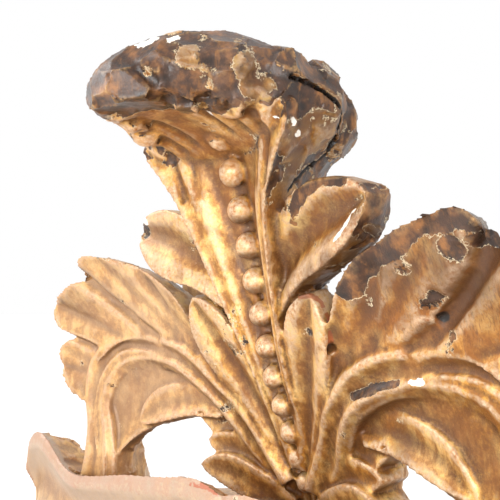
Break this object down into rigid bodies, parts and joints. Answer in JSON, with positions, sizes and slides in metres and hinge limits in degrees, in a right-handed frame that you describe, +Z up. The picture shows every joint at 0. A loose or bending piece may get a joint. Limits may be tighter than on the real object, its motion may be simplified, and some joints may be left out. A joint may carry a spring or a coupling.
{
  "type": "carved giltwood pediment",
  "caption": "Carved giltwood cresting: a pearled acanthus plume with a rolled tip between scrolled leaves on a bowed, horned rail with a flat back and underside.",
  "frame": {"origin": "on the flat underside of the rail, in the middle of its width, 60 mm behind the rail's front face and 40 mm in front of the flat back", "axes": "+X to the carving's right end as seen from the front, -Y out of the carved front, +Y out of the flat back, +Z up"},
  "size_m": [0.576, 0.187, 0.3519],
  "materials": {
    "gilded_wood": "worn water gilding over red bole and gesso on carved wood"
  },
  "bodies": {
    "root": {"carved_pediment": "gilded_wood"}
  },
  "joints": []
}
